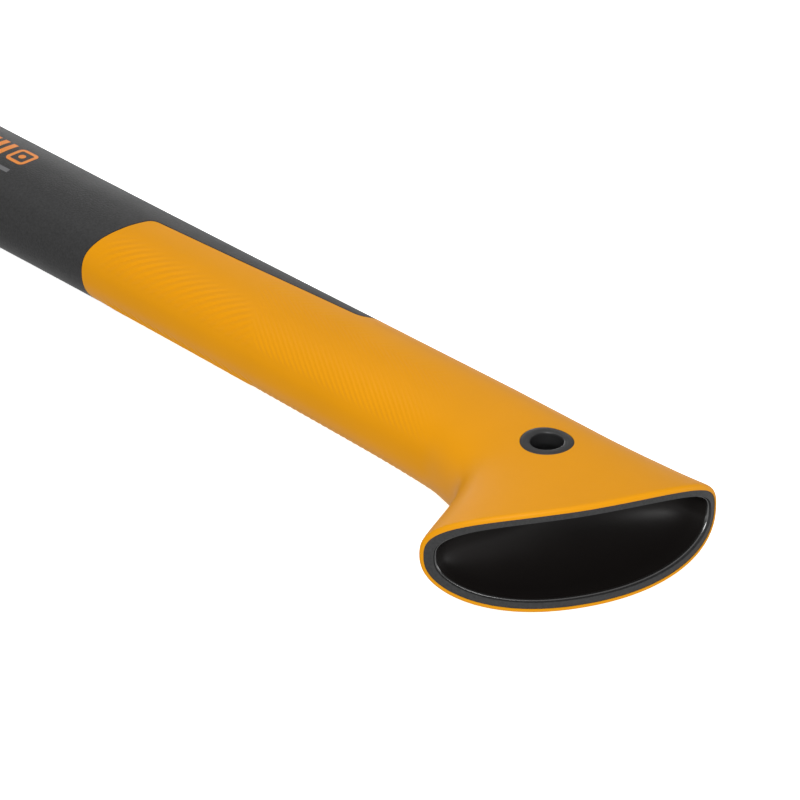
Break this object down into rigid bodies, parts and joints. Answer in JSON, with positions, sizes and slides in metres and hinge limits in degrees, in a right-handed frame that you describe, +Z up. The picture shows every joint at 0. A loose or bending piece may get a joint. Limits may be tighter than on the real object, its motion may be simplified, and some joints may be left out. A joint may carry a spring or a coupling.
{
  "type": "fire axe",
  "caption": "Single-bit fire axe with a flat poll: forged head in the collar of a hollow moulded handle, soft orange grip, open flared butt with a hook and a lanyard hole.",
  "frame": {"origin": "centre of the bounding box in X and Y, at the base plane the axe lies on", "axes": "+X runs along the handle from the butt to the head, +Y points towards the cutting edge, +Z is up with the axe lying on its side"},
  "size_m": [0.4439, 0.16, 0.034],
  "materials": {
    "forged_steel": "dark forge coating with a bright ground cutting edge",
    "black_nylon": "fine spark-eroded matt grain",
    "orange_rubber": "satin soft skin with fine moulded ridges",
    "gloss_black": "polished",
    "bush_plastic": "smooth satin",
    "orange_ink": "flush inlaid mark",
    "grey_ink": "flush inlaid mark"
  },
  "bodies": {
    "root": {"axe_head": "forged_steel", "handle_core": "black_nylon", "soft_grip": "orange_rubber", "grip_flare": "orange_rubber", "butt_liner": "gloss_black", "lanyard_bush": "bush_plastic", "size_mark": "orange_ink", "line_mark": "grey_ink"}
  },
  "joints": []
}
